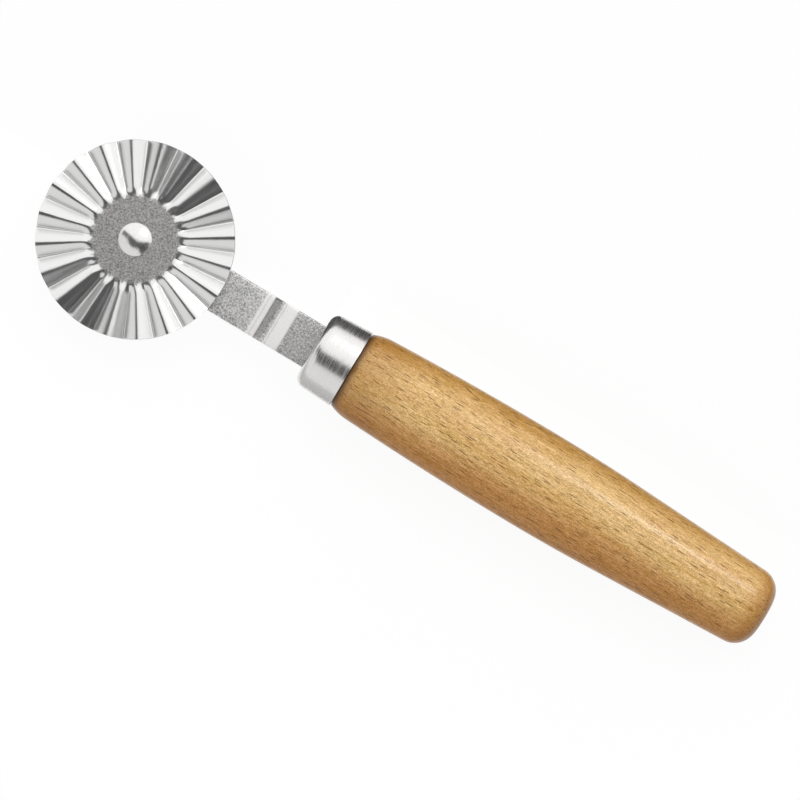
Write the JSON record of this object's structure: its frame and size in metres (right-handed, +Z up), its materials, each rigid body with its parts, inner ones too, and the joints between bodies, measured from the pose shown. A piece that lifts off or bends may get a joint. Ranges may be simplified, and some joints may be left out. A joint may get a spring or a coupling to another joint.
{
  "type": "fluted pastry wheel",
  "caption": "Hand pastry wheel: a corrugated steel disc spins on a rivet at the end of a joggled flat shank, set through a steel ferrule into a turned wooden handle.",
  "frame": {"origin": "on the surface that the tool lies on, under the middle of its overall length and width", "axes": "+X along the handle from the wheel to the butt, +Z up along the wheel's axle"},
  "size_m": [0.1666, 0.04, 0.0201],
  "materials": {
    "lacquered_beech": "satin lacquer over turned beech",
    "nickel_plate": "polished nickel plate on drawn steel",
    "blasted_steel": "blasted matt steel strip",
    "polished_steel": "bright pressed steel"
  },
  "bodies": {
    "handle_set": {"handle": "lacquered_beech", "ferrule": "nickel_plate", "shank": "blasted_steel", "axle_rivet": "polished_steel", "spacer_washer": "blasted_steel"},
    "wheel": {"fluted_wheel": "polished_steel"}
  },
  "joints": [
    {"name": "wheel_spin", "type": "hinge", "parent": "handle_set", "child": "wheel", "pos_m": [-0.06327, 0, 0.01005], "axis": [0, 0, 1], "continuous": true}
  ]
}
